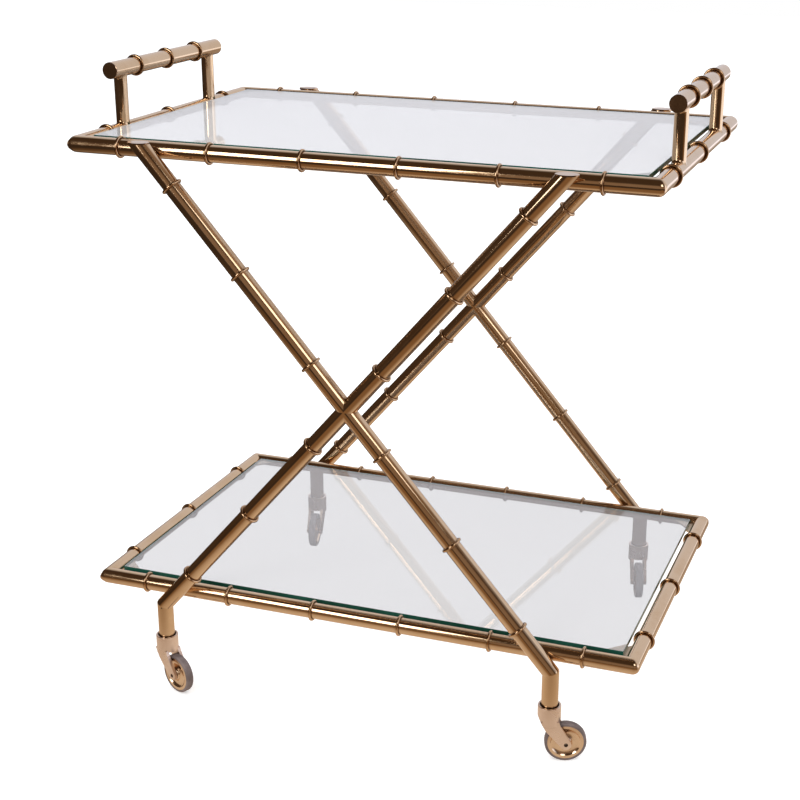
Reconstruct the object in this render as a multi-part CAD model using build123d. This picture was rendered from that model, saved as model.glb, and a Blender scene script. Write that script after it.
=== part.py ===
from build123d import *
import os
from math import asin, atan, cos, degrees, radians, sin, sqrt

# Serving trolley in polished brass tube with bamboo-style rings: two glass shelves in
# rectangular tube frames, crossed legs front and back, a handle at each end, four casters.
# Millimetres. Origin: centre of the trolley on the floor. +X to the right-hand handle,
# +Y to the back, +Z up.

# ---- driving dimensions ----
TUBE_OD = 20.0
TUBE_WALL = 1.2
FRAME_LENGTH = 688.0          # between the axes of the two short rails
FRAME_DEPTH = 432.0           # between the axes of the two long rails
LOWER_RAIL_Z = 132.0          # height of the lower rails' axes
TOP_RAIL_Z = 689.0            # height of the top rails' axes
CORNER_ROUND = 6.0            # outer corners of the frames, dressed round after welding

RING_WIRE = 3.4               # thickness of the bead rings' round wire
RING_PROUD = 3.1              # how far a ring stands out of its tube
LONG_RAIL_RINGS = 6
SHORT_RAIL_RING_PITCH = 151.0
HANDLE_RING_PITCH = 76.0
LEG_RING_REACH = (66.5, 197.5, 323.0)   # along the leg, from the crossing

LEG_CROSSING_Z = 408.0
LEG_FOOT_X = 253.0            # where the leg is mitred to its upright foot
LEG_SPREAD = 0.867            # sideways run of a leg for each unit of height
LEG_SEAT = 0.3                # depth of the flat where a leg is brazed to a rail
LEG_TOP_Z = TOP_RAIL_Z + 9.6
CAP_PLATE = 1.5

GLASS_THICK = 6.0
LIFT_CLEARANCE = 0.5          # between the pane's edge and the bead rings it lifts past
GLASS_GAP = RING_PROUD + LIFT_CLEARANCE    # between the pane's edge and the rail
GLASS_TOP_ABOVE_AXIS = 9.0
TAB_LEG = 42.0                # corner tab, along each rail from the inner corner
TAB_PLATE = 2.0

HANDLE_RISE = 74.0            # handle bar's axis above the rail's axis
HANDLE_LENGTH = 268.0
POST_OD = 16.0
POST_PITCH = 224.0

WHEEL_OD = 50.0
TYRE_DEPTH = 3.3
TYRE_WIDTH = 10.0
AXLE_OD = 5.0
CASTER_TRAIL = 20.0
CASTER_HEADINGS = {           # direction in which each wheel trails, degrees from +X
    "front_left": -24.0,
    "front_right": 20.0,
    "back_left": -79.0,
    "back_right": -72.0,
}
CUP_OD = 27.6
CUP_BORE = 23.0
CUP_TOP_Z = 74.0
CUP_FLOOR = (53.5, 58.0)      # underside and top of the cup's floor
CUP_SKIRT_Z = 50.0            # lower edge of the cup's wall
FORK_GAP = 14.0
CHEEK_PLATE = 4.0
CHEEK_END_RADIUS = 6.4
SWIVEL_PIN_OD = 8.0
RUNNING_CLEARANCE = 0.05
WASHER_PLATE = 1.0
PLUG_SHOULDER = 2.0
VENT_HOLE = 1.8

# ---- worked-out values ----
TUBE_R = TUBE_OD / 2
BORE_R = TUBE_R - TUBE_WALL
HALF_LENGTH = FRAME_LENGTH / 2
HALF_DEPTH = FRAME_DEPTH / 2
LEG_Y = HALF_DEPTH + TUBE_OD - LEG_SEAT
LEG_LEAN = atan(LEG_SPREAD)
MITRE_Z = LEG_CROSSING_Z - LEG_FOOT_X / LEG_SPREAD
STEM_END_Z = CUP_FLOOR[1] + WASHER_PLATE + PLUG_SHOULDER
WHEEL_R = WHEEL_OD / 2
HANDLE_Z = TOP_RAIL_Z + HANDLE_RISE
BIG = 2 * FRAME_LENGTH
ALONG_X, ALONG_Y, ALONG_Z = Vector(1, 0, 0), Vector(0, 1, 0), Vector(0, 0, 1)
SIDES = {"left": -1, "right": 1}
FACES = {"front": -1, "back": 1}


# ---- helpers ----
def rod(start, end, radius):
    """A solid round bar from one point to another."""
    run = Vector(*end) - Vector(*start)
    bar = Cylinder(radius, run.length, align=(Align.CENTER, Align.CENTER, Align.MIN))
    return Plane(origin=start, z_dir=run) * bar


def tube(start, end, outer=TUBE_R, wall=TUBE_WALL):
    """A hollow tube from one point to another."""
    run = Vector(*end) - Vector(*start)
    over = run.normalized()
    return rod(start, end, outer) - rod(Vector(*start) - over, Vector(*end) + over, outer - wall)


def half_space(point, normal):
    """A block that fills the side of a plane to which the normal points."""
    block = Box(BIG, BIG, BIG, align=(Align.CENTER, Align.CENTER, Align.MIN))
    return Plane(origin=point, z_dir=normal) * block


def ring(centre, direction, tube_radius=TUBE_R):
    """A bead of round wire seated on a tube."""
    wire = RING_WIRE / 2
    bead = Torus(tube_radius + RING_PROUD - wire, wire)
    bead -= Cylinder(tube_radius, 2 * RING_WIRE)
    return Plane(origin=centre, z_dir=direction) * bead


def write(shape, name):
    """Save one sub-part; several separate solids are kept as one group."""
    solids = list(shape) if isinstance(shape, list) else [shape]
    parts = [s for item in solids for s in item.solids()]
    export_step(parts[0] if len(parts) == 1 else Compound(children=parts), f"parts/{name}.step")


# ---- shelf frames ----
def rail(height, along, side):
    """One rail of a frame, mitred at 45 degrees to its neighbours at both ends."""
    if along == "x":
        ends = [(-HALF_LENGTH - TUBE_OD, side * HALF_DEPTH, height),
                (HALF_LENGTH + TUBE_OD, side * HALF_DEPTH, height)]
    else:
        ends = [(side * HALF_LENGTH, -HALF_DEPTH - TUBE_OD, height),
                (side * HALF_LENGTH, HALF_DEPTH + TUBE_OD, height)]
    body = tube(*ends)
    for end in (-1, 1):
        if along == "x":
            corner, away = (end * HALF_LENGTH, side * HALF_DEPTH, height), (end, -side, 0)
        else:
            corner, away = (side * HALF_LENGTH, end * HALF_DEPTH, height), (-side, end, 0)
        body -= half_space(corner, away)
        signs = (end, side) if along == "x" else (side, end)
        body -= corner_waste(height, *signs)
    return body


def corner_waste(height, sx, sy):
    """What is ground off one outer corner of a frame to round it in plan."""
    x = sx * (HALF_LENGTH + TUBE_R - CORNER_ROUND / 2)
    y = sy * (HALF_DEPTH + TUBE_R - CORNER_ROUND / 2)
    inset = CORNER_ROUND / 2
    block = Pos(x, y, height) * Box(CORNER_ROUND, CORNER_ROUND, 2 * TUBE_OD)
    return block - Pos(x - sx * inset, y - sy * inset, height) * Cylinder(CORNER_ROUND, 3 * TUBE_OD)


def solid_rails(height):
    """The four rails of a frame as solid bars, used to shape what is brazed to them."""
    bars = []
    for side in (-1, 1):
        y = side * HALF_DEPTH
        x = side * HALF_LENGTH
        bars.append(rod((-HALF_LENGTH, y, height), (HALF_LENGTH, y, height), TUBE_R))
        bars.append(rod((x, -HALF_DEPTH, height), (x, HALF_DEPTH, height), TUBE_R))
    return bars


def rail_rings(height):
    """The bead rings on all four rails of one frame."""
    pitch = FRAME_LENGTH / LONG_RAIL_RINGS
    rings = []
    for side in (-1, 1):
        for i in range(LONG_RAIL_RINGS):
            x = (i + 0.5) * pitch - HALF_LENGTH
            rings.append(ring((x, side * HALF_DEPTH, height), ALONG_X))
        for step in (-1, 0, 1):
            y = step * SHORT_RAIL_RING_PITCH
            rings.append(ring((side * HALF_LENGTH, y, height), ALONG_Y))
    return rings


def corner_tabs(height):
    """Triangular plates in the frame's inner corners, on which the pane rests."""
    top = height + GLASS_TOP_ABOVE_AXIS - GLASS_THICK
    reach = TUBE_R + TAB_LEG
    bars = solid_rails(height)
    tabs = []
    for sx in (-1, 1):
        for sy in (-1, 1):
            x, y = sx * HALF_LENGTH, sy * HALF_DEPTH
            outline = Polygon((x, y), (x - sx * reach, y), (x, y - sy * reach), align=None)
            plate = Pos(0, 0, top - TAB_PLATE) * extrude(outline, TAB_PLATE, dir=(0, 0, 1))
            for bar in bars:
                plate -= bar
            tabs.append(max(plate.solids(), key=lambda s: s.volume))
    return tabs


def pane(height):
    """A glass shelf with square corners and lightly arrised edges."""
    length = FRAME_LENGTH - 2 * (TUBE_R + GLASS_GAP)
    depth = FRAME_DEPTH - 2 * (TUBE_R + GLASS_GAP)
    sheet = Box(length, depth, GLASS_THICK, align=(Align.CENTER, Align.CENTER, Align.MAX))
    sheet = chamfer(sheet.edges(), 0.6)
    return Pos(0, 0, height + GLASS_TOP_ABOVE_AXIS) * sheet


# ---- crossed legs ----
def leg_point(reach, lean, face):
    """A point on a leg's axis; reach is measured down the leg from the crossing."""
    return (lean * reach * sin(LEG_LEAN), face * LEG_Y, LEG_CROSSING_Z - reach * cos(LEG_LEAN))


def leg_solid(lean, face):
    """A whole leg as a solid bar, longer than the leg at both ends."""
    far = FRAME_LENGTH
    return rod(leg_point(-far, lean, face), leg_point(far, lean, face), TUBE_R)


def whole_leg(lean, face):
    """A leg tube from its flat top to its mitred foot, seated against the long rails."""
    far = FRAME_LENGTH
    body = tube(leg_point(-far, lean, face), leg_point(far, lean, face))
    body -= half_space((0, 0, LEG_TOP_Z), ALONG_Z)
    mitre = Vector(lean * sin(LEG_LEAN), 0, -cos(LEG_LEAN)) + Vector(0, 0, -1)
    body -= half_space((lean * LEG_FOOT_X, face * LEG_Y, MITRE_Z), mitre)
    for height in (TOP_RAIL_Z, LOWER_RAIL_Z):
        y = face * HALF_DEPTH
        body -= rod((-HALF_LENGTH, y, height), (HALF_LENGTH, y, height), TUBE_R)
    return body


def half_legs(lean, face):
    """The two halves of the second leg, coped against the unbroken one."""
    pieces = (whole_leg(lean, face) - leg_solid(-lean, face)).solids()
    pieces = sorted(pieces, key=lambda s: s.volume)[-2:]
    return sorted(pieces, key=lambda s: -s.center().Z)


def leg_rings(face):
    """The bead rings on both legs of one face."""
    rings = []
    for lean in (-1, 1):
        direction = Vector(lean * sin(LEG_LEAN), 0, -cos(LEG_LEAN))
        for reach in LEG_RING_REACH:
            for way in (-1, 1):
                rings.append(ring(leg_point(way * reach, lean, face), direction))
    return rings


def leg_caps():
    """Flat plates that close the legs' level-cut tops."""
    caps = []
    for face in FACES.values():
        for lean in (-1, 1):
            reach = -(LEG_TOP_Z - LEG_CROSSING_Z) / cos(LEG_LEAN)
            x, y, z = leg_point(reach, lean, face)
            plate = extrude(Ellipse(TUBE_R / cos(LEG_LEAN), TUBE_R), CAP_PLATE)
            plate = chamfer(plate.faces().sort_by(Axis.Z)[-1].edges(), 0.4)
            caps.append(Pos(x, y, z) * plate)
    return caps


def foot_stem(sx, face):
    """The upright foot under a leg, mitred to it at the top."""
    x, y = sx * LEG_FOOT_X, face * LEG_Y
    body = tube((x, y, STEM_END_Z), (x, y, MITRE_Z + TUBE_OD))
    mitre = Vector(-sx * sin(LEG_LEAN), 0, cos(LEG_LEAN)) + ALONG_Z
    body -= half_space((x, y, MITRE_Z), mitre)
    if (sx, face) == (-1, -1):
        body -= rod((x, y, MITRE_Z - VENT_HOLE), (x, y - TUBE_OD, MITRE_Z - VENT_HOLE), VENT_HOLE / 2)
    return body


# ---- handles ----
def handle_bar(sx):
    x = sx * HALF_LENGTH
    return tube((x, -HANDLE_LENGTH / 2, HANDLE_Z), (x, HANDLE_LENGTH / 2, HANDLE_Z))


def handle_post(sx, sy):
    """A slim upright coped to the rail below it and the bar above it."""
    x, y = sx * HALF_LENGTH, sy * POST_PITCH / 2
    post = tube((x, y, TOP_RAIL_Z), (x, y, HANDLE_Z), POST_OD / 2)
    for z in (TOP_RAIL_Z, HANDLE_Z):
        post -= rod((x, -HALF_DEPTH, z), (x, HALF_DEPTH, z), TUBE_R)
    return max(post.solids(), key=lambda s: s.volume)


def handle_rings(sx):
    x = sx * HALF_LENGTH
    return [ring((x, step * HANDLE_RING_PITCH, HANDLE_Z), ALONG_Y) for step in (-1, 0, 1)]


def handle_caps():
    """Flat discs that close the ends of the handle bars."""
    caps = []
    for sx in SIDES.values():
        for sy in (-1, 1):
            disc = Cylinder(TUBE_R, CAP_PLATE, align=(Align.CENTER, Align.CENTER, Align.MIN))
            disc = chamfer(disc.faces().sort_by(Axis.Z)[-1].edges(), 0.4)
            end = (sx * HALF_LENGTH, sy * HANDLE_LENGTH / 2, HANDLE_Z)
            caps.append(Plane(origin=end, z_dir=(0, sy, 0)) * disc)
    return caps


# ---- casters, built about a swivel axis on Z with the wheel trailing towards +X ----
def swivel_pin():
    """Plug for the foot tube, with a shoulder and a riveted pin that carries the caster."""
    head_z = CUP_FLOOR[0] + 1.0
    pin_r = SWIVEL_PIN_OD / 2
    outline = [(0, STEM_END_Z + 20), (BORE_R, STEM_END_Z + 20), (BORE_R, STEM_END_Z),
               (TUBE_R, STEM_END_Z), (TUBE_R, STEM_END_Z - PLUG_SHOULDER),
               (pin_r, STEM_END_Z - PLUG_SHOULDER), (pin_r, head_z - RUNNING_CLEARANCE),
               (pin_r + 2, head_z - RUNNING_CLEARANCE), (pin_r + 1.4, CUP_FLOOR[0] + 0.1),
               (0, CUP_FLOOR[0] + 0.1)]
    return revolve(Plane.XZ * Polygon(*outline, align=None), Axis.Z)


def swivel_washer():
    """Thin thrust washer between the plug's shoulder and the cup's floor."""
    body = Cylinder(TUBE_R - 0.4, WASHER_PLATE, align=(Align.CENTER, Align.CENTER, Align.MIN))
    body -= Cylinder(SWIVEL_PIN_OD / 2, 3 * WASHER_PLATE)
    return Pos(0, 0, CUP_FLOOR[1]) * body


def caster_fork():
    """Cast cup around the foot tube, with two slanting cheeks that hold the axle."""
    cup_r = CUP_OD / 2
    cup = Cylinder(cup_r, CUP_TOP_Z - CUP_SKIRT_Z, align=(Align.CENTER, Align.CENTER, Align.MIN))
    cup = Pos(0, 0, CUP_SKIRT_Z) * cup
    cup = fillet(cup.faces().sort_by(Axis.Z)[-1].edges(), 0.7)
    bore = Cylinder(CUP_BORE / 2, CUP_TOP_Z, align=(Align.CENTER, Align.CENTER, Align.MIN))
    cup -= Pos(0, 0, CUP_FLOOR[1]) * bore
    slot = Box(2 * CUP_OD, FORK_GAP, 2 * (CUP_FLOOR[0] - CUP_SKIRT_Z))
    cup -= Pos(0, 0, CUP_SKIRT_Z) * slot
    heel = Polygon((-cup_r, 60.5), (-4.5, 43.5), (-2 * cup_r, 43.5), (-2 * cup_r, 60.5), align=None)
    cup -= extrude(Plane.XZ * heel, CUP_OD, both=True)

    axle = Vector(CASTER_TRAIL, WHEEL_R)
    across = Vector(0.63, -0.777).cross(ALONG_Z) * CHEEK_END_RADIUS
    nose = Vector(0.49, -0.872).cross(ALONG_Z) * CHEEK_END_RADIUS
    side = Polygon((-9.4, 52.5), (-4.5, 43.5), (axle.X + across.X, axle.Y + across.Y),
                   (axle.X - nose.X, axle.Y - nose.Y), (13.0, CUP_SKIRT_Z), (11.0, 55.5),
                   (-10.8, 55.5), align=None)
    side = side + Pos(axle.X, axle.Y) * Circle(CHEEK_END_RADIUS)
    inner = FORK_GAP / 2
    for sy in (-1, 1):
        cheek = extrude(Plane.XZ * side, CHEEK_PLATE)
        cheek = Pos(0, inner + CHEEK_PLATE if sy > 0 else -inner, 0) * cheek
        cup += cheek
    cup -= Cylinder(SWIVEL_PIN_OD / 2 + RUNNING_CLEARANCE, 4 * CUP_TOP_Z)
    recess = Cylinder(SWIVEL_PIN_OD / 2 + 2.5, 1.0, align=(Align.CENTER, Align.CENTER, Align.MIN))
    cup -= Pos(0, 0, CUP_FLOOR[0]) * recess
    cup -= rod((CASTER_TRAIL, -CUP_OD, WHEEL_R), (CASTER_TRAIL, CUP_OD, WHEEL_R), AXLE_OD / 2)
    return cup


def axle_pin():
    """Plain axle, pressed into the cheeks and sunk below their outer faces."""
    half = FORK_GAP / 2 + 0.45 * CHEEK_PLATE
    return rod((CASTER_TRAIL, -half, WHEEL_R), (CASTER_TRAIL, half, WHEEL_R), AXLE_OD / 2)


def spun(outline):
    """A turned shape from half its outline, (radius, offset), put on the axle."""
    shape = revolve(outline, Axis.Z)
    return Plane(origin=(CASTER_TRAIL, 0, WHEEL_R), z_dir=ALONG_Y) * shape


def wheel_disc():
    """Turned brass wheel: flat rim band, dished channel and domed hub, alike on both faces."""
    bore = AXLE_OD / 2 + RUNNING_CLEARANCE
    rim_r = WHEEL_R - TYRE_DEPTH
    hub_face, rim_face, waist = FORK_GAP / 2 - 0.5, TYRE_WIDTH / 2 - 0.2, 2.0
    with BuildSketch(Plane.XZ) as half:
        with BuildLine():
            for sign in (-1, 1):
                Line((bore, 0), (bore, sign * hub_face))
                Line((bore, sign * hub_face), (4.2, sign * hub_face))
                ThreePointArc((4.2, sign * hub_face), (6.6, sign * 5.6), (7.8, sign * 3.6))
                ThreePointArc((7.8, sign * 3.6), (12.2, sign * waist), (17.2, sign * 3.9))
                Line((17.2, sign * 3.9), (18.2, sign * rim_face))
                Line((18.2, sign * rim_face), (rim_r, sign * rim_face))
                Line((rim_r, sign * rim_face), (rim_r, 0))
        make_face()
    return spun(half.sketch)


def tyre():
    """Rubber tyre with rounded shoulders, stretched over the wheel's rim."""
    rim_r = WHEEL_R - TYRE_DEPTH
    with BuildSketch(Plane.XZ) as section:
        with Locations(((rim_r + WHEEL_R) / 2, 0)):
            Rectangle(TYRE_DEPTH, TYRE_WIDTH)
        fillet(section.vertices().group_by(Axis.X)[-1], 1.9)
    return spun(section.sketch)


def main():
    os.makedirs("parts", exist_ok=True)
    for level, height in (("top", TOP_RAIL_Z), ("lower", LOWER_RAIL_Z)):
        for name, face in FACES.items():
            write(rail(height, "x", face), f"{level}_{name}_rail")
        for name, side in SIDES.items():
            write(rail(height, "y", side), f"{level}_{name}_rail")
        write(rail_rings(height), f"{level}_rail_rings")
        write(corner_tabs(height), f"{level}_corner_tabs")
        write(pane(height), f"{level}_glass")

    # At the front the unbroken leg runs from top right to bottom left. At the back it does too.
    for name, face in FACES.items():
        write(whole_leg(-1, face), f"{name}_long_leg")
        upper, lower = half_legs(1, face)
        write(upper, f"{name}_upper_half_leg")
        write(lower, f"{name}_lower_half_leg")
        write(leg_rings(face), f"{name}_leg_rings")
    write(leg_caps(), "leg_top_caps")

    for name, sx in SIDES.items():
        write(handle_bar(sx), f"{name}_handle_bar")
        write(handle_rings(sx), f"{name}_handle_rings")
        for post, sy in FACES.items():
            write(handle_post(sx, sy), f"{name}_handle_{post}_post")
    write(handle_caps(), "handle_end_caps")

    washers = []
    for corner, heading in CASTER_HEADINGS.items():
        face_name, side_name = corner.split("_")
        face, sx = FACES[face_name], SIDES[side_name]
        place = Pos(sx * LEG_FOOT_X, face * LEG_Y, 0) * Rot(0, 0, heading)
        write(foot_stem(sx, face), f"foot_stem_{corner}")
        write(place * swivel_pin(), f"swivel_pin_{corner}")
        write(place * caster_fork(), f"caster_fork_{corner}")
        write(place * axle_pin(), f"axle_{corner}")
        write(place * wheel_disc(), f"wheel_{corner}")
        write(place * tyre(), f"tyre_{corner}")
        washers.append(place * swivel_washer())
    write(washers, "swivel_washers")


main()
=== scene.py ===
import math

import bmesh
import bpy
from mathutils import Matrix, Vector


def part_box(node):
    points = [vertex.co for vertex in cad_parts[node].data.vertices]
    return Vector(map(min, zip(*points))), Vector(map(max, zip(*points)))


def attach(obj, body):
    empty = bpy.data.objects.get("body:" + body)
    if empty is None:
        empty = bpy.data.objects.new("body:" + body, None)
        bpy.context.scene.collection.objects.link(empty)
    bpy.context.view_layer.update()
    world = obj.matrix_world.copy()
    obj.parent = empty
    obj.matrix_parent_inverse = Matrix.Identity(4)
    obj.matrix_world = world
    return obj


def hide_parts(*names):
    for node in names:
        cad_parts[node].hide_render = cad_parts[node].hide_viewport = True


# Serving trolley in polished brass tube with bead rings and two glass shelves.
# Metres. +X to the right-hand handle, +Y to the back, +Z up, floor at z = 0.

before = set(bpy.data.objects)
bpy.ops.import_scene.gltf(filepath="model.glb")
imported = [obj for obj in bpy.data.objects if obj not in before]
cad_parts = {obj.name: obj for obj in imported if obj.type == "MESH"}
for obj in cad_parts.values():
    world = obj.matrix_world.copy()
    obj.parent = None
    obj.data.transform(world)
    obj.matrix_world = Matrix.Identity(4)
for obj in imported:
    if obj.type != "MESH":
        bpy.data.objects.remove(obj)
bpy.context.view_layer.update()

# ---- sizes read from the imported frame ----
TUBE = (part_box("top_front_rail")[1].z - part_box("top_front_rail")[0].z) / 2
WALL = 0.0012
ARRIS = 0.00012            # softened edge at a tube's end
CORNER_ROUND = 0.007       # outer corners of the frames, dressed round after welding
ELBOW_ROUND = 0.004        # outer side of the mitre between a leg and its foot
LEG_SPREAD = 0.867         # sideways run of a leg for each unit of height
POST = (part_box("left_handle_front_post")[1].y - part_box("left_handle_front_post")[0].y) / 2
AROUND = 72                # flats round a tube
BRAZE_FLARE = 0.0012       # how far the braze spreads round the end of a post
BRAZE_RUN = 0.0026         # and how far it climbs
GLASS_ARRIS = 0.0006       # softened edges of the panes
FINISH_ROWS = 8            # rows of faces over a rounded or flared tube end
ROW_LENGTH = 0.012         # length of the rows along a plain tube
ROUND_RUN = 0.0006         # how far a rounded end blends into the plain tube
SHARP_ANGLE = math.radians(35)
VENTED = "front_left"      # the foot with the vent hole from brazing
VENT_RADIUS = 0.0009
VENT_DROP = 0.0018         # from the mitre down to the hole
UP = Vector((0, 0, 1))
CORNERS = {"front_left": (-1, -1), "front_right": (1, -1), "back_left": (-1, 1), "back_right": (1, 1)}
FACES = {"front": -1, "back": 1}
SIDES = {"left": -1, "right": 1}


def middle(node):
    low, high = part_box(node)
    return (low + high) / 2


HALF_LENGTH = middle("top_right_rail").x
HALF_DEPTH = middle("top_back_rail").y
LEVELS = {"top": middle("top_front_rail").z, "lower": middle("lower_front_rail").z}
CROSSING_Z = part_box("front_upper_half_leg")[0].z
LEG_Y = -middle("front_long_leg").y
LEG_TOP_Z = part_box("leg_top_caps")[0].z
FOOT_X = -middle("foot_stem_front_left").x
MITRE_Z = CROSSING_Z - FOOT_X / LEG_SPREAD
BAR_Z = middle("left_handle_bar").z


# ---------------------------------------------------------------- mesh helpers

def across(direction):
    """Two unit vectors square to a direction and to each other."""
    side = direction.cross(UP if abs(direction.z) < 0.9 else Vector((0, 1, 0))).normalized()
    return side, direction.cross(side).normalized()


def cut_flat(point, normal):
    """Tube end cut by a plane."""
    def where(origin, direction):
        return (point - origin).dot(normal) / direction.dot(normal)
    return where


def cut_saddle(point, along, radius, near):
    """Tube end coped round another tube; near says which side of that tube it meets."""
    def where(origin, direction):
        gap = (origin - point) - along * (origin - point).dot(along)
        move = direction - along * direction.dot(along)
        a, b, c = move.dot(move), 2 * gap.dot(move), gap.dot(gap) - radius * radius
        root = math.sqrt(max(b * b - 4 * a * c, 0.0))
        return (-b + near * root) / (2 * a)
    return where


def new_piece(name, bm, body, node, materials, smooth=True):
    """Turns a bmesh into a piece that rides on a body and stands for its CAD node."""
    mesh = bpy.data.meshes.new(name)
    bm.to_mesh(mesh)
    bm.free()
    piece = bpy.data.objects.new(name, mesh)
    bpy.context.scene.collection.objects.link(piece)
    if smooth:
        mesh.shade_smooth()
        mesh.set_sharp_from_angle(angle=SHARP_ANGLE)
    for material in materials:
        mesh.materials.append(material)
    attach(piece, body)
    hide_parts(node)
    return piece


def brass_tube(node, bm):
    """A length of brass tube that stands for one CAD node of the fixed frame."""
    return new_piece(f"{node}_tube", bm, "frame", node, [TUBE_BRASS])


class End:
    """The finish of a tube's end: its cut, and a round on the outside of a mitre, or a brazed flare."""

    def __init__(self, cut, outward=None, turn=0.0, round_radius=0.0, flare=0.0, run=0.0):
        self.cut, self.outward, self.turn = cut, outward, turn
        self.round_radius, self.flare, self.run = round_radius, flare, run

    def rows(self):
        """Shares of the end's finish, from the very end inwards."""
        if self.flare or self.round_radius:
            return [k / FINISH_ROWS for k in range(FINISH_ROWS + 1)]
        return [0.0, 1.0]

    def place(self, share, out, radius, base, direction):
        """Radius of the wall and its place along the axis, measured from base, at a share of the finish."""
        if self.flare:
            wide = radius + self.flare * (1 - share) ** 2
            return wide, self.cut(base + out * wide, direction), share * self.run
        if self.round_radius:
            lean = max(0.0, out.dot(self.outward))
            half_turn = math.atan(math.tan(self.turn) * lean)
            swing = half_turn * (1 - share)
            inner = radius - self.round_radius
            wall = inner + self.round_radius * math.cos(swing)
            back = self.round_radius * (math.sin(half_turn) - math.sin(swing)) + share * ROUND_RUN
            cut_radius = inner + self.round_radius * math.cos(half_turn)
            return wall, self.cut(base + out * cut_radius, direction), back
        return radius - ARRIS * (1 - share), self.cut(base + out * radius, direction), share * ARRIS


def tube_bmesh(start, end, radius, first_end, last_end):
    """A hollow tube from start to end, finished at each end as asked."""
    bm = bmesh.new()
    uv = bm.loops.layers.uv.new("along")
    direction = (end - start).normalized()
    side, other = across(direction)
    body_rows = max(2, int((end - start).length / ROW_LENGTH))
    outs = []
    for k in range(AROUND):
        a = 2 * math.pi * k / AROUND
        outs.append(side * math.cos(a) + other * math.sin(a))

    def wall_point(out, wall, t):
        return bm.verts.new(start + out * wall + direction * t), t

    columns = []
    for out in outs:
        column = []
        for share in first_end.rows():
            wall, t, back = first_end.place(share, out, radius, start, direction)
            column.append((wall, t + back))
        tail = []
        for share in last_end.rows():
            wall, t, back = last_end.place(share, out, radius, start, direction)
            tail.append((wall, t - back))
        t0, t1 = column[-1][1], tail[-1][1]
        for k in range(1, body_rows):
            column.append((radius, t0 + (t1 - t0) * k / body_rows))
        column += reversed(tail)
        columns.append([wall_point(out, wall, t) for wall, t in column])
    loops = [list(row) for row in zip(*columns)]
    inner_loops = []
    for finish in (first_end, last_end):
        bore = radius - WALL
        cuts = [finish.cut(start + out * bore, direction) for out in outs]
        inner_loops.append([wall_point(out, bore, t) for out, t in zip(outs, cuts)])

    def skin(first, second):
        for k in range(AROUND):
            n = (k + 1) % AROUND
            quad = (first[k], first[n], second[n], second[k])
            face = bm.faces.new([v for v, _ in quad])
            turns = (k, k + 1, k + 1, k)
            for loop, turn, (_, t) in zip(face.loops, turns, quad):
                loop[uv].uv = (turn / AROUND * 2 * math.pi * radius, t)

    for first, second in zip(loops, loops[1:]):
        skin(first, second)
    skin(loops[-1], inner_loops[1])
    skin(inner_loops[1], inner_loops[0])
    skin(inner_loops[0], loops[0])
    bmesh.ops.recalc_face_normals(bm, faces=bm.faces)
    return bm


# ---------------------------------------------------------------- shader helpers

def socket(group, name, way, kind, value=None):
    made = group.interface.new_socket(name=name, in_out=way, socket_type=kind)
    if value is not None:
        made.default_value = value
    return made


class Sheet:
    """A small helper that adds nodes to a tree and wires them by name."""

    def __init__(self, tree):
        self.tree = tree

    def node(self, kind, settings=None, **inputs):
        made = self.tree.nodes.new(kind)
        for key, value in (settings or {}).items():
            setattr(made, key, value)
        for key, value in inputs.items():
            self.feed(made, key.replace("_", " "), value)
        return made

    def feed(self, node, key, value):
        target = node.inputs[int(key)] if key.isdigit() else node.inputs[key]
        if isinstance(value, bpy.types.NodeSocket):
            self.tree.links.new(value, target)
        else:
            target.default_value = value

    def maths(self, operation, first, second=0.0, clamp=False):
        made = self.tree.nodes.new("ShaderNodeMath")
        made.operation = operation
        made.use_clamp = clamp
        self.feed(made, "0", first)
        self.feed(made, "1", second)
        return made.outputs[0]

    def mix(self, share, first, second, blend="MIX"):
        made = self.tree.nodes.new("ShaderNodeMix")
        made.data_type = "RGBA"
        made.blend_type = blend
        self.feed(made, "0", share)
        self.feed(made, "6", first)
        self.feed(made, "7", second)
        return made.outputs[2]

    def span(self, value, low, high, to_low=0.0, to_high=1.0, kind="SMOOTHSTEP"):
        made = self.tree.nodes.new("ShaderNodeMapRange")
        made.interpolation_type = kind
        for key, item in zip(("0", "1", "2", "3", "4"), (value, low, high, to_low, to_high)):
            self.feed(made, key, item)
        return made.outputs[0]

    def noise(self, vector, scale, detail=3.0, roughness=0.5):
        made = self.tree.nodes.new("ShaderNodeTexNoise")
        self.feed(made, "Vector", vector)
        self.feed(made, "Scale", scale)
        self.feed(made, "Detail", detail)
        self.feed(made, "Roughness", roughness)
        return made.outputs["Fac"]


def group_tree(name, inputs, outputs):
    """A named shader group with its sockets, ready to be filled."""
    tree = bpy.data.node_groups.new(name, "ShaderNodeTree")
    for title, kind, value in inputs:
        socket(tree, title, "INPUT", kind, value)
    for title, kind in outputs:
        socket(tree, title, "OUTPUT", kind)
    sheet = Sheet(tree)
    return sheet, sheet.node("NodeGroupInput"), sheet.node("NodeGroupOutput")


FLOAT, VECTOR = "NodeSocketFloat", "NodeSocketVector"


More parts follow.
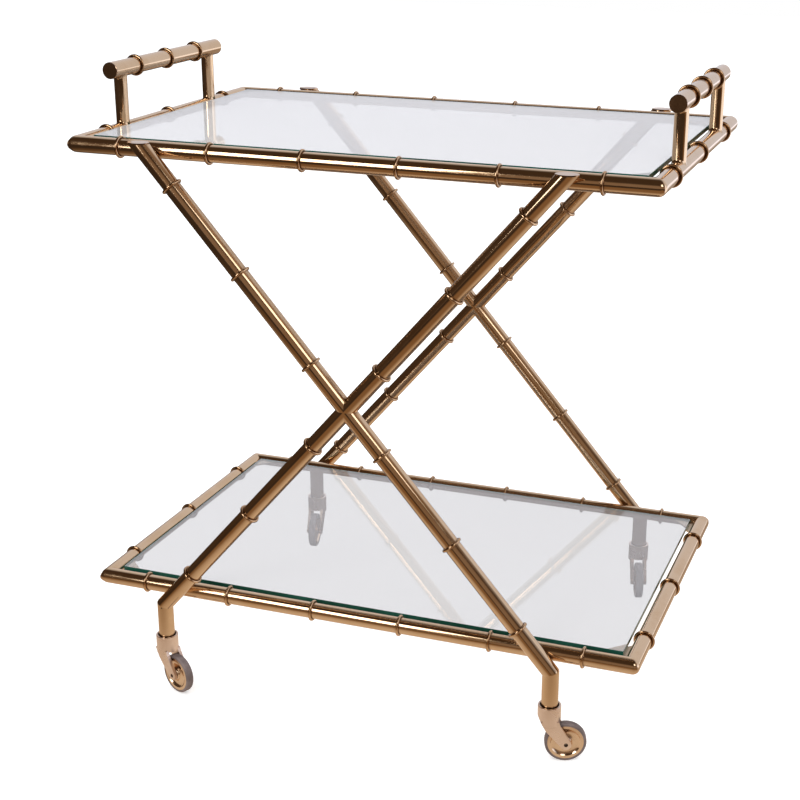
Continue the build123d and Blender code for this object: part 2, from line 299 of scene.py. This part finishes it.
def polish_lines_group():
    """Fine lines left by the polishing mop, and broad cloudy patches of haze."""
    sheet, given, out = group_tree(
        "Polish lines",
        [("Vector", VECTOR, None), ("Fineness", FLOAT, 1.0), ("Stretch", VECTOR, (1.0, 1.0, 1.0))],
        [("Height", FLOAT), ("Haze", FLOAT)])
    drawn = sheet.node("ShaderNodeVectorMath", {"operation": "MULTIPLY"})
    sheet.feed(drawn, "0", given.outputs["Vector"])
    sheet.feed(drawn, "1", given.outputs["Stretch"])
    fine_scale = sheet.maths("MULTIPLY", given.outputs["Fineness"], 900.0)
    fine = sheet.noise(drawn.outputs[0], fine_scale, 4.0, 0.65)
    broad_scale = sheet.maths("MULTIPLY", given.outputs["Fineness"], 26.0)
    broad = sheet.noise(given.outputs["Vector"], broad_scale, 3.0)
    sheet.tree.links.new(fine, out.inputs["Height"])
    sheet.tree.links.new(sheet.span(broad, 0.35, 0.7), out.inputs["Haze"])
    return sheet.tree


def tarnish_and_shade_group():
    """Darker metal in crevices beside rings and seams, partly patina and partly painted shade read from
    ambient occlusion, and faint cloudy patches elsewhere.
    """
    sheet, given, out = group_tree(
        "Tarnish and painted shade",
        [("Vector", VECTOR, None), ("Reach", FLOAT, 0.004), ("Cloud scale", FLOAT, 18.0)],
        [("Crevice patina and painted shade", FLOAT), ("Cloud", FLOAT), ("Specks", FLOAT)])
    hollow = sheet.node("ShaderNodeAmbientOcclusion", {"samples": 6, "only_local": False})
    sheet.feed(hollow, "Distance", given.outputs["Reach"])
    # the crevice mask reads ambient occlusion, so its darkening is partly patina and partly painted shade
    sheet.tree.links.new(sheet.span(hollow.outputs["AO"], 0.95, 0.35), out.inputs["Crevice patina and painted shade"])
    cloud = sheet.noise(given.outputs["Vector"], given.outputs["Cloud scale"], 4.0, 0.6)
    sheet.tree.links.new(sheet.span(cloud, 0.42, 0.68), out.inputs["Cloud"])
    grain_scale = sheet.maths("MULTIPLY", given.outputs["Cloud scale"], 40.0)
    grains = sheet.noise(given.outputs["Vector"], grain_scale, 2.0)
    sheet.tree.links.new(sheet.span(grains, 0.64, 0.72), out.inputs["Specks"])
    return sheet.tree


POLISH = polish_lines_group()
TARNISH_AND_SHADE = tarnish_and_shade_group()


def place_group(sheet, tree, **inputs):
    made = sheet.tree.nodes.new("ShaderNodeGroup")
    made.node_tree = tree
    for key, value in inputs.items():
        sheet.feed(made, key.replace("_", " "), value)
    return made


def new_material(name):
    made = bpy.data.materials.new(name)
    made.use_nodes = True
    sheet = Sheet(made.node_tree)
    shader = made.node_tree.nodes["Principled BSDF"]
    return made, sheet, shader


def brass(name, colour, deep, rough, crevice_patina_and_shade=0.5, lines=0.05, stretch=(1.0, 0.02, 1.0), by_uv=False,
          cloud_scale=18.0, reach=0.004, line_depth=0.00002):
    """Polished or cast brass: warm colour that drifts a little, darker crevices that are partly patina and
    partly painted shade, polishing lines and haze.
    """
    made, sheet, shader = new_material(name)
    spot = sheet.node("ShaderNodeTexCoord")
    where = spot.outputs["UV"] if by_uv else spot.outputs["Object"]
    lines_made = place_group(sheet, POLISH, Vector=where, Fineness=1.0, Stretch=stretch)
    dirt_and_shade = place_group(sheet, TARNISH_AND_SHADE, Vector=spot.outputs["Object"], Reach=reach, Cloud_scale=cloud_scale)
    tone = sheet.mix(sheet.maths("MULTIPLY", dirt_and_shade.outputs["Cloud"], 0.45), colour, deep)
    # painted shade in crevices and between parts from the ambient-occlusion mask, laid on together with
    # patina
    dark = sheet.maths("MULTIPLY", dirt_and_shade.outputs["Crevice patina and painted shade"], crevice_patina_and_shade)
    tone = sheet.mix(dark, tone, (deep[0] * 0.30, deep[1] * 0.24, deep[2] * 0.2, 1))
    tone = sheet.mix(sheet.maths("MULTIPLY", dirt_and_shade.outputs["Specks"], 0.25), tone, deep)
    sheet.feed(shader, "Base Color", tone)
    haze = sheet.span(lines_made.outputs["Haze"], 0.0, 1.0, rough * 0.75, rough * 1.5, "LINEAR")
    haze = sheet.maths("ADD", haze, sheet.maths("MULTIPLY", dark, 0.25))
    sheet.feed(shader, "Roughness", haze)
    shader.inputs["Metallic"].default_value = 1.0
    height = lines_made.outputs["Height"]
    bump = sheet.node("ShaderNodeBump", Strength=lines, Distance=line_depth, Height=height)
    sheet.feed(shader, "Normal", bump.outputs["Normal"])
    return made


def glass_material(name):
    made, sheet, shader = new_material(name)
    shader.inputs["Transmission Weight"].default_value = 1.0
    shader.inputs["IOR"].default_value = 1.52
    shader.inputs["Sheen Weight"].default_value = 0.5
    shader.inputs["Sheen Roughness"].default_value = 0.6
    spot = sheet.node("ShaderNodeTexCoord")
    smear = sheet.noise(spot.outputs["Object"], 9.0, 4.0)
    sheet.feed(shader, "Base Color", sheet.mix(smear, (0.94, 0.935, 0.935, 1), (0.925, 0.93, 0.925, 1)))
    sheet.feed(shader, "Roughness", sheet.span(smear, 0.4, 0.75, 0.0, 0.035))
    return made


def glass_edge_material(name):
    made, sheet, shader = new_material(name)
    spot = sheet.node("ShaderNodeTexCoord")
    drift = sheet.noise(spot.outputs["Object"], 14.0, 3.0)
    bands = sheet.noise(spot.outputs["Object"], 160.0, 2.0)
    tone = sheet.mix(sheet.span(drift, 0.35, 0.65), (0.008, 0.060, 0.040, 1), (0.014, 0.100, 0.072, 1))
    sheet.feed(shader, "Base Color", tone)
    sheet.feed(shader, "Roughness", sheet.span(bands, 0.3, 0.7, 0.06, 0.22))
    shader.inputs["IOR"].default_value = 1.52
    return made


def rubber_material(name):
    made, sheet, shader = new_material(name)
    spot = sheet.node("ShaderNodeTexCoord")
    patch = sheet.noise(spot.outputs["Object"], 60.0, 4.0)
    grain = sheet.noise(spot.outputs["Object"], 1400.0, 2.0)
    tone = sheet.mix(sheet.span(patch, 0.35, 0.7), (0.14, 0.107, 0.104, 1), (0.22, 0.175, 0.17, 1))
    tone = sheet.mix(sheet.span(grain, 0.62, 0.75, 0.0, 0.5), tone, (0.3, 0.26, 0.25, 1))
    sheet.feed(shader, "Base Color", tone)
    sheet.feed(shader, "Roughness", sheet.span(patch, 0.3, 0.7, 0.5, 0.72))
    bump = sheet.node("ShaderNodeBump", Strength=0.35, Distance=0.0001, Height=grain)
    sheet.feed(shader, "Normal", bump.outputs["Normal"])
    return made


TUBE_BRASS = brass("tube_brass", (0.79, 0.565, 0.36, 1), (0.68, 0.44, 0.235, 1), 0.10,
                   crevice_patina_and_shade=0.75, lines=0.25, stretch=(1.0, 0.02, 1.0), by_uv=True)
RING_BRASS = brass("ring_brass", (0.70, 0.47, 0.28, 1), (0.44, 0.26, 0.125, 1), 0.11,
                   crevice_patina_and_shade=0.9, lines=0.2, reach=0.003)
CAP_BRASS = brass("cap_brass", (0.76, 0.53, 0.35, 1), (0.52, 0.33, 0.18, 1), 0.12, crevice_patina_and_shade=0.6, lines=0.3)
TAB_BRASS = brass("tab_brass", (0.72, 0.56, 0.38, 1), (0.5, 0.36, 0.22, 1), 0.28, crevice_patina_and_shade=0.5, lines=0.3)
CAST_BRASS = brass("cast_brass", (0.95, 0.77, 0.65, 1), (0.78, 0.58, 0.45, 1), 0.33,
                   crevice_patina_and_shade=0.7, lines=0.55, stretch=(1.0, 1.0, 0.12), cloud_scale=60.0, line_depth=0.00006)
WHEEL_BRASS = brass("wheel_brass", (0.88, 0.66, 0.46, 1), (0.60, 0.40, 0.25, 1), 0.15,
                    crevice_patina_and_shade=0.9, lines=0.3, cloud_scale=50.0)
PIN_STEEL = brass("pin_steel", (0.42, 0.38, 0.34, 1), (0.2, 0.17, 0.15, 1), 0.3, crevice_patina_and_shade=0.9, lines=0.3)
RUBBER = rubber_material("tyre_rubber")
GLASS = glass_material("shelf_glass")
GLASS_EDGE = glass_edge_material("glass_edge")


# ---------------------------------------------------------------- rails

def make_rail(level, name, along_x, side):
    """One rail, mitred at 45 degrees and rounded on the outside of each corner."""
    z = LEVELS[level]
    if along_x:
        start = Vector((-HALF_LENGTH, side * HALF_DEPTH, z))
        end = Vector((HALF_LENGTH, side * HALF_DEPTH, z))
        outward = Vector((0, side, 0))
    else:
        start = Vector((side * HALF_LENGTH, -HALF_DEPTH, z))
        end = Vector((side * HALF_LENGTH, HALF_DEPTH, z))
        outward = Vector((side, 0, 0))
    along = (end - start).normalized()
    finishes = []
    for corner, way in ((start, -1), (end, 1)):
        cut = cut_flat(corner, along * way - outward)
        finishes.append(End(cut, outward, math.radians(45), CORNER_ROUND))
    node = f"{level}_{name}_rail"
    brass_tube(node, tube_bmesh(start, end, TUBE, *finishes))


for level in LEVELS:
    for name, side in FACES.items():
        make_rail(level, name, True, side)
    for name, side in SIDES.items():
        make_rail(level, name, False, side)


# ---------------------------------------------------------------- legs and feet

def leg_axis(lean, face):
    """Foot point, crossing point and the direction up a leg that leans to its foot side."""
    foot = Vector((lean * FOOT_X, face * LEG_Y, MITRE_Z))
    crossing = Vector((0, face * LEG_Y, CROSSING_Z))
    return foot, crossing, (crossing - foot).normalized()


def leg_top(lean, face):
    """Where a leg's axis meets the level cut at its top."""
    _, crossing, rise = leg_axis(lean, face)
    return crossing + rise * ((LEG_TOP_Z - CROSSING_Z) / rise.z)


def elbow(foot, rise, tube_axis, lean):
    """The mitre between a leg and its foot, as cut on either tube, rounded on its outer side."""
    outward = Vector((lean, 0, 0))
    outward = (outward - tube_axis * outward.dot(tube_axis)).normalized()
    return End(cut_flat(foot, (rise + UP).normalized()), outward, math.acos(rise.dot(UP)) / 2, ELBOW_ROUND)


def make_legs(name, face):
    """A long leg that leans from the left foot, and the two half legs coped against it."""
    foot, crossing, rise = leg_axis(-1, face)
    top = leg_top(-1, face)
    level_cut = End(cut_flat(top, UP))
    brass_tube(f"{name}_long_leg", tube_bmesh(foot, top, TUBE, elbow(foot, rise, rise, -1), level_cut))
    foot, crossing, half_rise = leg_axis(1, face)
    top = leg_top(1, face)
    below, above = [End(cut_saddle(crossing, rise, TUBE, near)) for near in (-1, 1)]
    level_cut = End(cut_flat(top, UP))
    bend = elbow(foot, half_rise, half_rise, 1)
    brass_tube(f"{name}_lower_half_leg", tube_bmesh(foot, crossing, TUBE, bend, below))
    brass_tube(f"{name}_upper_half_leg", tube_bmesh(crossing, top, TUBE, above, level_cut))


def make_stem(corner, lean, face):
    """The upright foot under a leg."""
    node = f"foot_stem_{corner}"
    foot, _, rise = leg_axis(lean, face)
    start = Vector((foot.x, foot.y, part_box(node)[0].z))
    level_cut = End(cut_flat(start, UP))
    return brass_tube(node, tube_bmesh(start, foot, TUBE, level_cut, elbow(foot, rise, UP, lean)))


def drill(piece, place, direction, radius, depth):
    """Cuts a small round hole through the near wall of a tube."""
    bm = bmesh.new()
    bmesh.ops.create_cone(bm, cap_ends=True, segments=24, radius1=radius, radius2=radius, depth=depth)
    turn = direction.to_track_quat("Z", "Y").to_matrix().to_4x4()
    bmesh.ops.transform(bm, matrix=Matrix.Translation(place) @ turn, verts=bm.verts)
    mesh = bpy.data.meshes.new("drill_bit")
    bm.to_mesh(mesh)
    bm.free()
    bit = bpy.data.objects.new("drill_bit", mesh)
    bpy.context.scene.collection.objects.link(bit)
    cut = piece.modifiers.new("vent", "BOOLEAN")
    cut.operation, cut.solver, cut.object = "DIFFERENCE", "EXACT", bit
    bored = bpy.data.meshes.new_from_object(piece.evaluated_get(bpy.context.evaluated_depsgraph_get()))
    piece.modifiers.clear()
    piece.data = bored
    bpy.data.objects.remove(bit)
    bored.set_sharp_from_angle(angle=SHARP_ANGLE)


for name, face in FACES.items():
    make_legs(name, face)
for corner, (lean, face) in CORNERS.items():
    stem = make_stem(corner, lean, face)
    if corner == VENTED:
        mouth = Vector((lean * FOOT_X, face * (LEG_Y + TUBE), MITRE_Z - VENT_DROP))
        drill(stem, mouth, Vector((0, face, 0)), VENT_RADIUS, 2 * TUBE)


# ---------------------------------------------------------------- handles

def make_handle(name):
    """A handle bar and the two posts brazed between it and the top rail."""
    bar = f"{name}_handle_bar"
    bar_low, bar_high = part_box(bar)
    x = middle(bar).x
    start, end = Vector((x, bar_low.y, BAR_Z)), Vector((x, bar_high.y, BAR_Z))
    along = Vector((0, 1, 0))
    brass_tube(bar, tube_bmesh(start, end, TUBE, End(cut_flat(start, along)), End(cut_flat(end, along))))
    for place in FACES:
        node = f"{name}_handle_{place}_post"
        y = middle(node).y
        low, high = Vector((x, y, LEVELS["top"])), Vector((x, y, BAR_Z))
        brazed = [End(cut_saddle(spot, along, TUBE, near), flare=BRAZE_FLARE, run=BRAZE_RUN)
                  for spot, near in ((low, 1), (high, -1))]
        brass_tube(node, tube_bmesh(low, high, POST, *brazed))


for name in SIDES:
    make_handle(name)


# ---------------------------------------------------------------- glass

def make_pane(level):
    """A flat pane with softened edges; its edge faces take the deeper green."""
    low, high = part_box(f"{level}_glass")
    bm = bmesh.new()
    bmesh.ops.create_cube(bm, size=1.0)
    size, centre = high - low, (low + high) / 2
    bmesh.ops.transform(bm, matrix=Matrix.Translation(centre) @ Matrix.Diagonal((*size, 1)), verts=bm.verts)
    bmesh.ops.bevel(bm, geom=bm.edges[:], offset=GLASS_ARRIS, segments=3, profile=0.6, affect="EDGES")
    bm.faces.ensure_lookup_table()
    for face in bm.faces:
        face.material_index = 0 if abs(face.normal.z) > 0.99 else 1
    pane = new_piece(f"{level}_shelf_pane", bm, f"{level}_shelf", f"{level}_glass",
                     [GLASS, GLASS_EDGE], smooth=False)
    pane.visible_shadow = False


for level in LEVELS:
    make_pane(level)


# ---------------------------------------------------------------- CAD pieces that keep their shape

FINISHES = {
    "_rings": RING_BRASS,
    "_caps": CAP_BRASS,
    "_tabs": TAB_BRASS,
    "caster_fork": CAST_BRASS,
    "wheel_": WHEEL_BRASS,
    "tyre_": RUBBER,
    "axle_": PIN_STEEL,
    "swivel_": PIN_STEEL,
}

for node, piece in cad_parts.items():
    for part_of_name, material in FINISHES.items():
        if node.startswith(part_of_name) or node.endswith(part_of_name):
            piece.data.materials.clear()
            piece.data.materials.append(material)


# ---------------------------------------------------------------- studio

THROUGH_GLASS = (0.80, 0.79, 0.80, 1)     # the pale surroundings, as the panes dim them
WHITE = (1.0, 1.0, 1.0, 1)

# what the polished metal mirrors of the room
DARK_ROOM = (0.058, 0.036, 0.021, 1)
ROOM_IN_FRONT = (0.24, 0.17, 0.12, 1)
ROOM_HIGH_RIGHT = (0.30, 0.22, 0.17, 1)
BACKDROP = (0.70, 0.715, 0.80, 1)
BRIGHT_SIDE = (1.30, 1.36, 1.60, 1)

# and of the floor
FLOOR_IN_FRONT = (0.24, 0.14, 0.07, 1)
FLOOR_BEHIND = (0.38, 0.31, 0.25, 1)
FLOOR_FAR_IN_FRONT = (0.05, 0.032, 0.02, 1)
FLOOR_POOL = (0.68, 0.57, 0.46, 1)
FLOOR_FAR_LEFT = (0.045, 0.03, 0.02, 1)
FLOOR_BRIGHT_SIDE = (1.25, 1.30, 1.50, 1)
FLOOR_PAST_GLASS = (0.10, 0.07, 0.055, 1)


def seen_by_eye(sheet):
    """Masks for what the eye sees directly and through a pane, apart from what the brass mirrors."""
    path = sheet.node("ShaderNodeLightPath")
    not_mirrored = sheet.maths("LESS_THAN", path.outputs["Glossy Depth"], 0.5)
    through = sheet.maths("MULTIPLY", path.outputs["Is Transmission Ray"], not_mirrored)
    return path.outputs["Is Camera Ray"], through, path


def studio_world():
    """A dark room with a pale backdrop, as the polished metal mirrors it; plain and pale to the eye."""
    world = bpy.data.worlds.new("studio")
    bpy.context.scene.world = world
    world.use_nodes = True
    sheet = Sheet(world.node_tree)
    background = world.node_tree.nodes["Background"]
    spot = sheet.node("ShaderNodeTexCoord")
    parts = sheet.node("ShaderNodeSeparateXYZ")
    sheet.feed(parts, "Vector", spot.outputs["Generated"])
    right, back, height = parts.outputs
    low = sheet.span(height, 0.6, 1.02, 1.0, 0.0)
    behind = sheet.maths("MULTIPLY", sheet.span(back, 0.1, 0.45), low)
    behind = sheet.maths("MULTIPLY", behind, sheet.span(right, -0.8, -0.5))
    level = sheet.span(sheet.maths("ABSOLUTE", height), 0.3, 0.6, 1.0, 0.0)
    beside = sheet.maths("MULTIPLY", sheet.span(right, 0.72, 0.95), level)
    beside = sheet.maths("MULTIPLY", beside, sheet.span(back, -0.35, 0.1))
    near = sheet.maths("MULTIPLY", sheet.span(back, -0.25, -0.7), sheet.span(right, -0.75, -0.25))
    near = sheet.maths("MULTIPLY", near, sheet.span(height, 0.35, 0.6, 1.0, 0.0))
    high_right = sheet.maths("MULTIPLY", sheet.span(right, 0.45, 0.65), sheet.span(height, 0.5, 0.62))
    high_right = sheet.maths("MULTIPLY", high_right, sheet.span(height, 0.8, 0.92, 1.0, 0.0))
    room = sheet.mix(near, DARK_ROOM, ROOM_IN_FRONT)
    room = sheet.mix(high_right, room, ROOM_HIGH_RIGHT)
    room = sheet.mix(behind, room, BACKDROP)
    room = sheet.mix(beside, room, BRIGHT_SIDE)
    eye, through, path = seen_by_eye(sheet)
    seen = sheet.maths("MAXIMUM", eye, path.outputs["Is Diffuse Ray"])
    room = sheet.mix(seen, room, WHITE)
    sheet.feed(background, "Color", sheet.mix(through, room, THROUGH_GLASS))
    background.inputs["Strength"].default_value = 1.0


def studio_floor():
    """A pale floor; the brass mirrors it as a warm pool of light round the trolley that fades to dark."""
    bm = bmesh.new()
    bmesh.ops.create_grid(bm, x_segments=8, y_segments=8, size=9.0)
    mesh = bpy.data.meshes.new("studio_floor")
    bm.to_mesh(mesh)
    bm.free()
    floor = bpy.data.objects.new("studio_floor", mesh)
    bpy.context.scene.collection.objects.link(floor)
    made, sheet, shader = new_material("studio_floor")
    shader.inputs["Roughness"].default_value = 0.9
    shader.inputs["Specular IOR Level"].default_value = 0.1
    shader.inputs["Base Color"].default_value = (0.93, 0.93, 0.93, 1)
    shader.inputs["Emission Color"].default_value = WHITE
    shader.inputs["Emission Strength"].default_value = 0.35
    spot = sheet.node("ShaderNodeTexCoord")
    parts = sheet.node("ShaderNodeSeparateXYZ")
    sheet.feed(parts, "Vector", spot.outputs["Object"])
    right, back = parts.outputs["X"], parts.outputs["Y"]
    reach = sheet.node("ShaderNodeVectorMath", {"operation": "MULTIPLY"})
    sheet.feed(reach, "0", spot.outputs["Object"])
    sheet.feed(reach, "1", (0.7, 1.0, 1.0))
    distance = sheet.node("ShaderNodeVectorMath", {"operation": "LENGTH"})
    sheet.feed(distance, "0", reach.outputs[0])
    mirrored = sheet.mix(sheet.span(back, -0.6, 0.6), FLOOR_IN_FRONT, FLOOR_BEHIND)
    mirrored = sheet.mix(sheet.span(back, -2.2, -1.2), FLOOR_FAR_IN_FRONT, mirrored)
    pool = sheet.span(distance.outputs["Value"], 0.2, 0.75, 1.0, 0.0)
    mirrored = sheet.mix(pool, mirrored, FLOOR_POOL)
    mirrored = sheet.mix(sheet.span(right, -1.1, -0.4), FLOOR_FAR_LEFT, mirrored)
    bright = sheet.maths("MULTIPLY", sheet.span(right, 0.7, 1.4), sheet.span(back, -0.3, 0.1))
    mirrored = sheet.mix(bright, mirrored, FLOOR_BRIGHT_SIDE)
    glow = sheet.node("ShaderNodeEmission")
    eye, through, path = seen_by_eye(sheet)
    past_glass = sheet.maths("GREATER_THAN", path.outputs["Transmission Depth"], 0.5)
    mirrored = sheet.mix(past_glass, mirrored, FLOOR_PAST_GLASS)
    sheet.feed(glow, "Color", sheet.mix(through, mirrored, THROUGH_GLASS))
    blend = sheet.node("ShaderNodeMixShader")
    sheet.feed(blend, "0", eye)
    sheet.feed(blend, "1", glow.outputs[0])
    sheet.feed(blend, "2", shader.outputs[0])
    made.node_tree.links.new(blend.outputs[0], made.node_tree.nodes["Material Output"].inputs["Surface"])
    mesh.materials.append(made)


def soft_light(name, place, target, width, height, power):
    """A rectangular softbox aimed at a point, seen only in what it lights and in reflections."""
    light = bpy.data.lights.new(name, "AREA")
    light.shape = "RECTANGLE"
    light.size, light.size_y = width, height
    light.energy = power
    lamp = bpy.data.objects.new(name, light)
    bpy.context.scene.collection.objects.link(lamp)
    lamp.location = place
    lamp.rotation_mode = "QUATERNION"
    lamp.rotation_quaternion = (Vector(target) - Vector(place)).to_track_quat("-Z", "Y")
    lamp.visible_camera = False
    lamp.visible_transmission = False
    return lamp


CAMERA_PLACE = Vector((0.65851, -1.77473, 1.00965))
CAMERA_YAW = math.radians(19.28)       # to the left of straight back
CAMERA_PITCH = math.radians(20.10)     # downwards
CAMERA_ROLL = math.radians(0.46)
CAMERA_LENS = 69.46                    # millimetres, on a 36 mm sensor
CAMERA_SHIFT = (-0.0563, 0.0239)


def camera():
    data = bpy.data.cameras.new("camera")
    data.sensor_width = 36.0
    data.lens = CAMERA_LENS
    data.shift_x, data.shift_y = CAMERA_SHIFT
    data.clip_start, data.clip_end = 0.05, 60.0
    lens = bpy.data.objects.new("camera", data)
    bpy.context.scene.collection.objects.link(lens)
    across_ground, drop = math.cos(CAMERA_PITCH), -math.sin(CAMERA_PITCH)
    ahead = Vector((-math.sin(CAMERA_YAW) * across_ground, math.cos(CAMERA_YAW) * across_ground, drop))
    right = Vector((math.cos(CAMERA_YAW), math.sin(CAMERA_YAW), 0))
    up = right.cross(ahead)
    turned_right = right * math.cos(CAMERA_ROLL) + up * math.sin(CAMERA_ROLL)
    turned_up = up * math.cos(CAMERA_ROLL) - right * math.sin(CAMERA_ROLL)
    turn = Matrix((turned_right, turned_up, -ahead)).transposed()
    lens.matrix_world = Matrix.Translation(CAMERA_PLACE) @ turn.to_4x4()
    bpy.context.scene.camera = lens


TROLLEY_MIDDLE = (0, 0, 0.45)

studio_world()
studio_floor()
fill = soft_light("overhead_fill", (0.0, 0.4, 3.0), (0, 0, 0), 2.6, 2.0, 34)
fill.visible_glossy = False
soft_light("left_softbox", (-0.92, -2.0, 1.35), TROLLEY_MIDDLE, 0.75, 1.05, 12)
soft_light("right_softbox", (1.40, -1.35, 1.85), TROLLEY_MIDDLE, 0.85, 0.85, 5)
camera()
bpy.context.scene.view_settings.view_transform = "Standard"
bpy.context.scene.view_settings.look = "None"
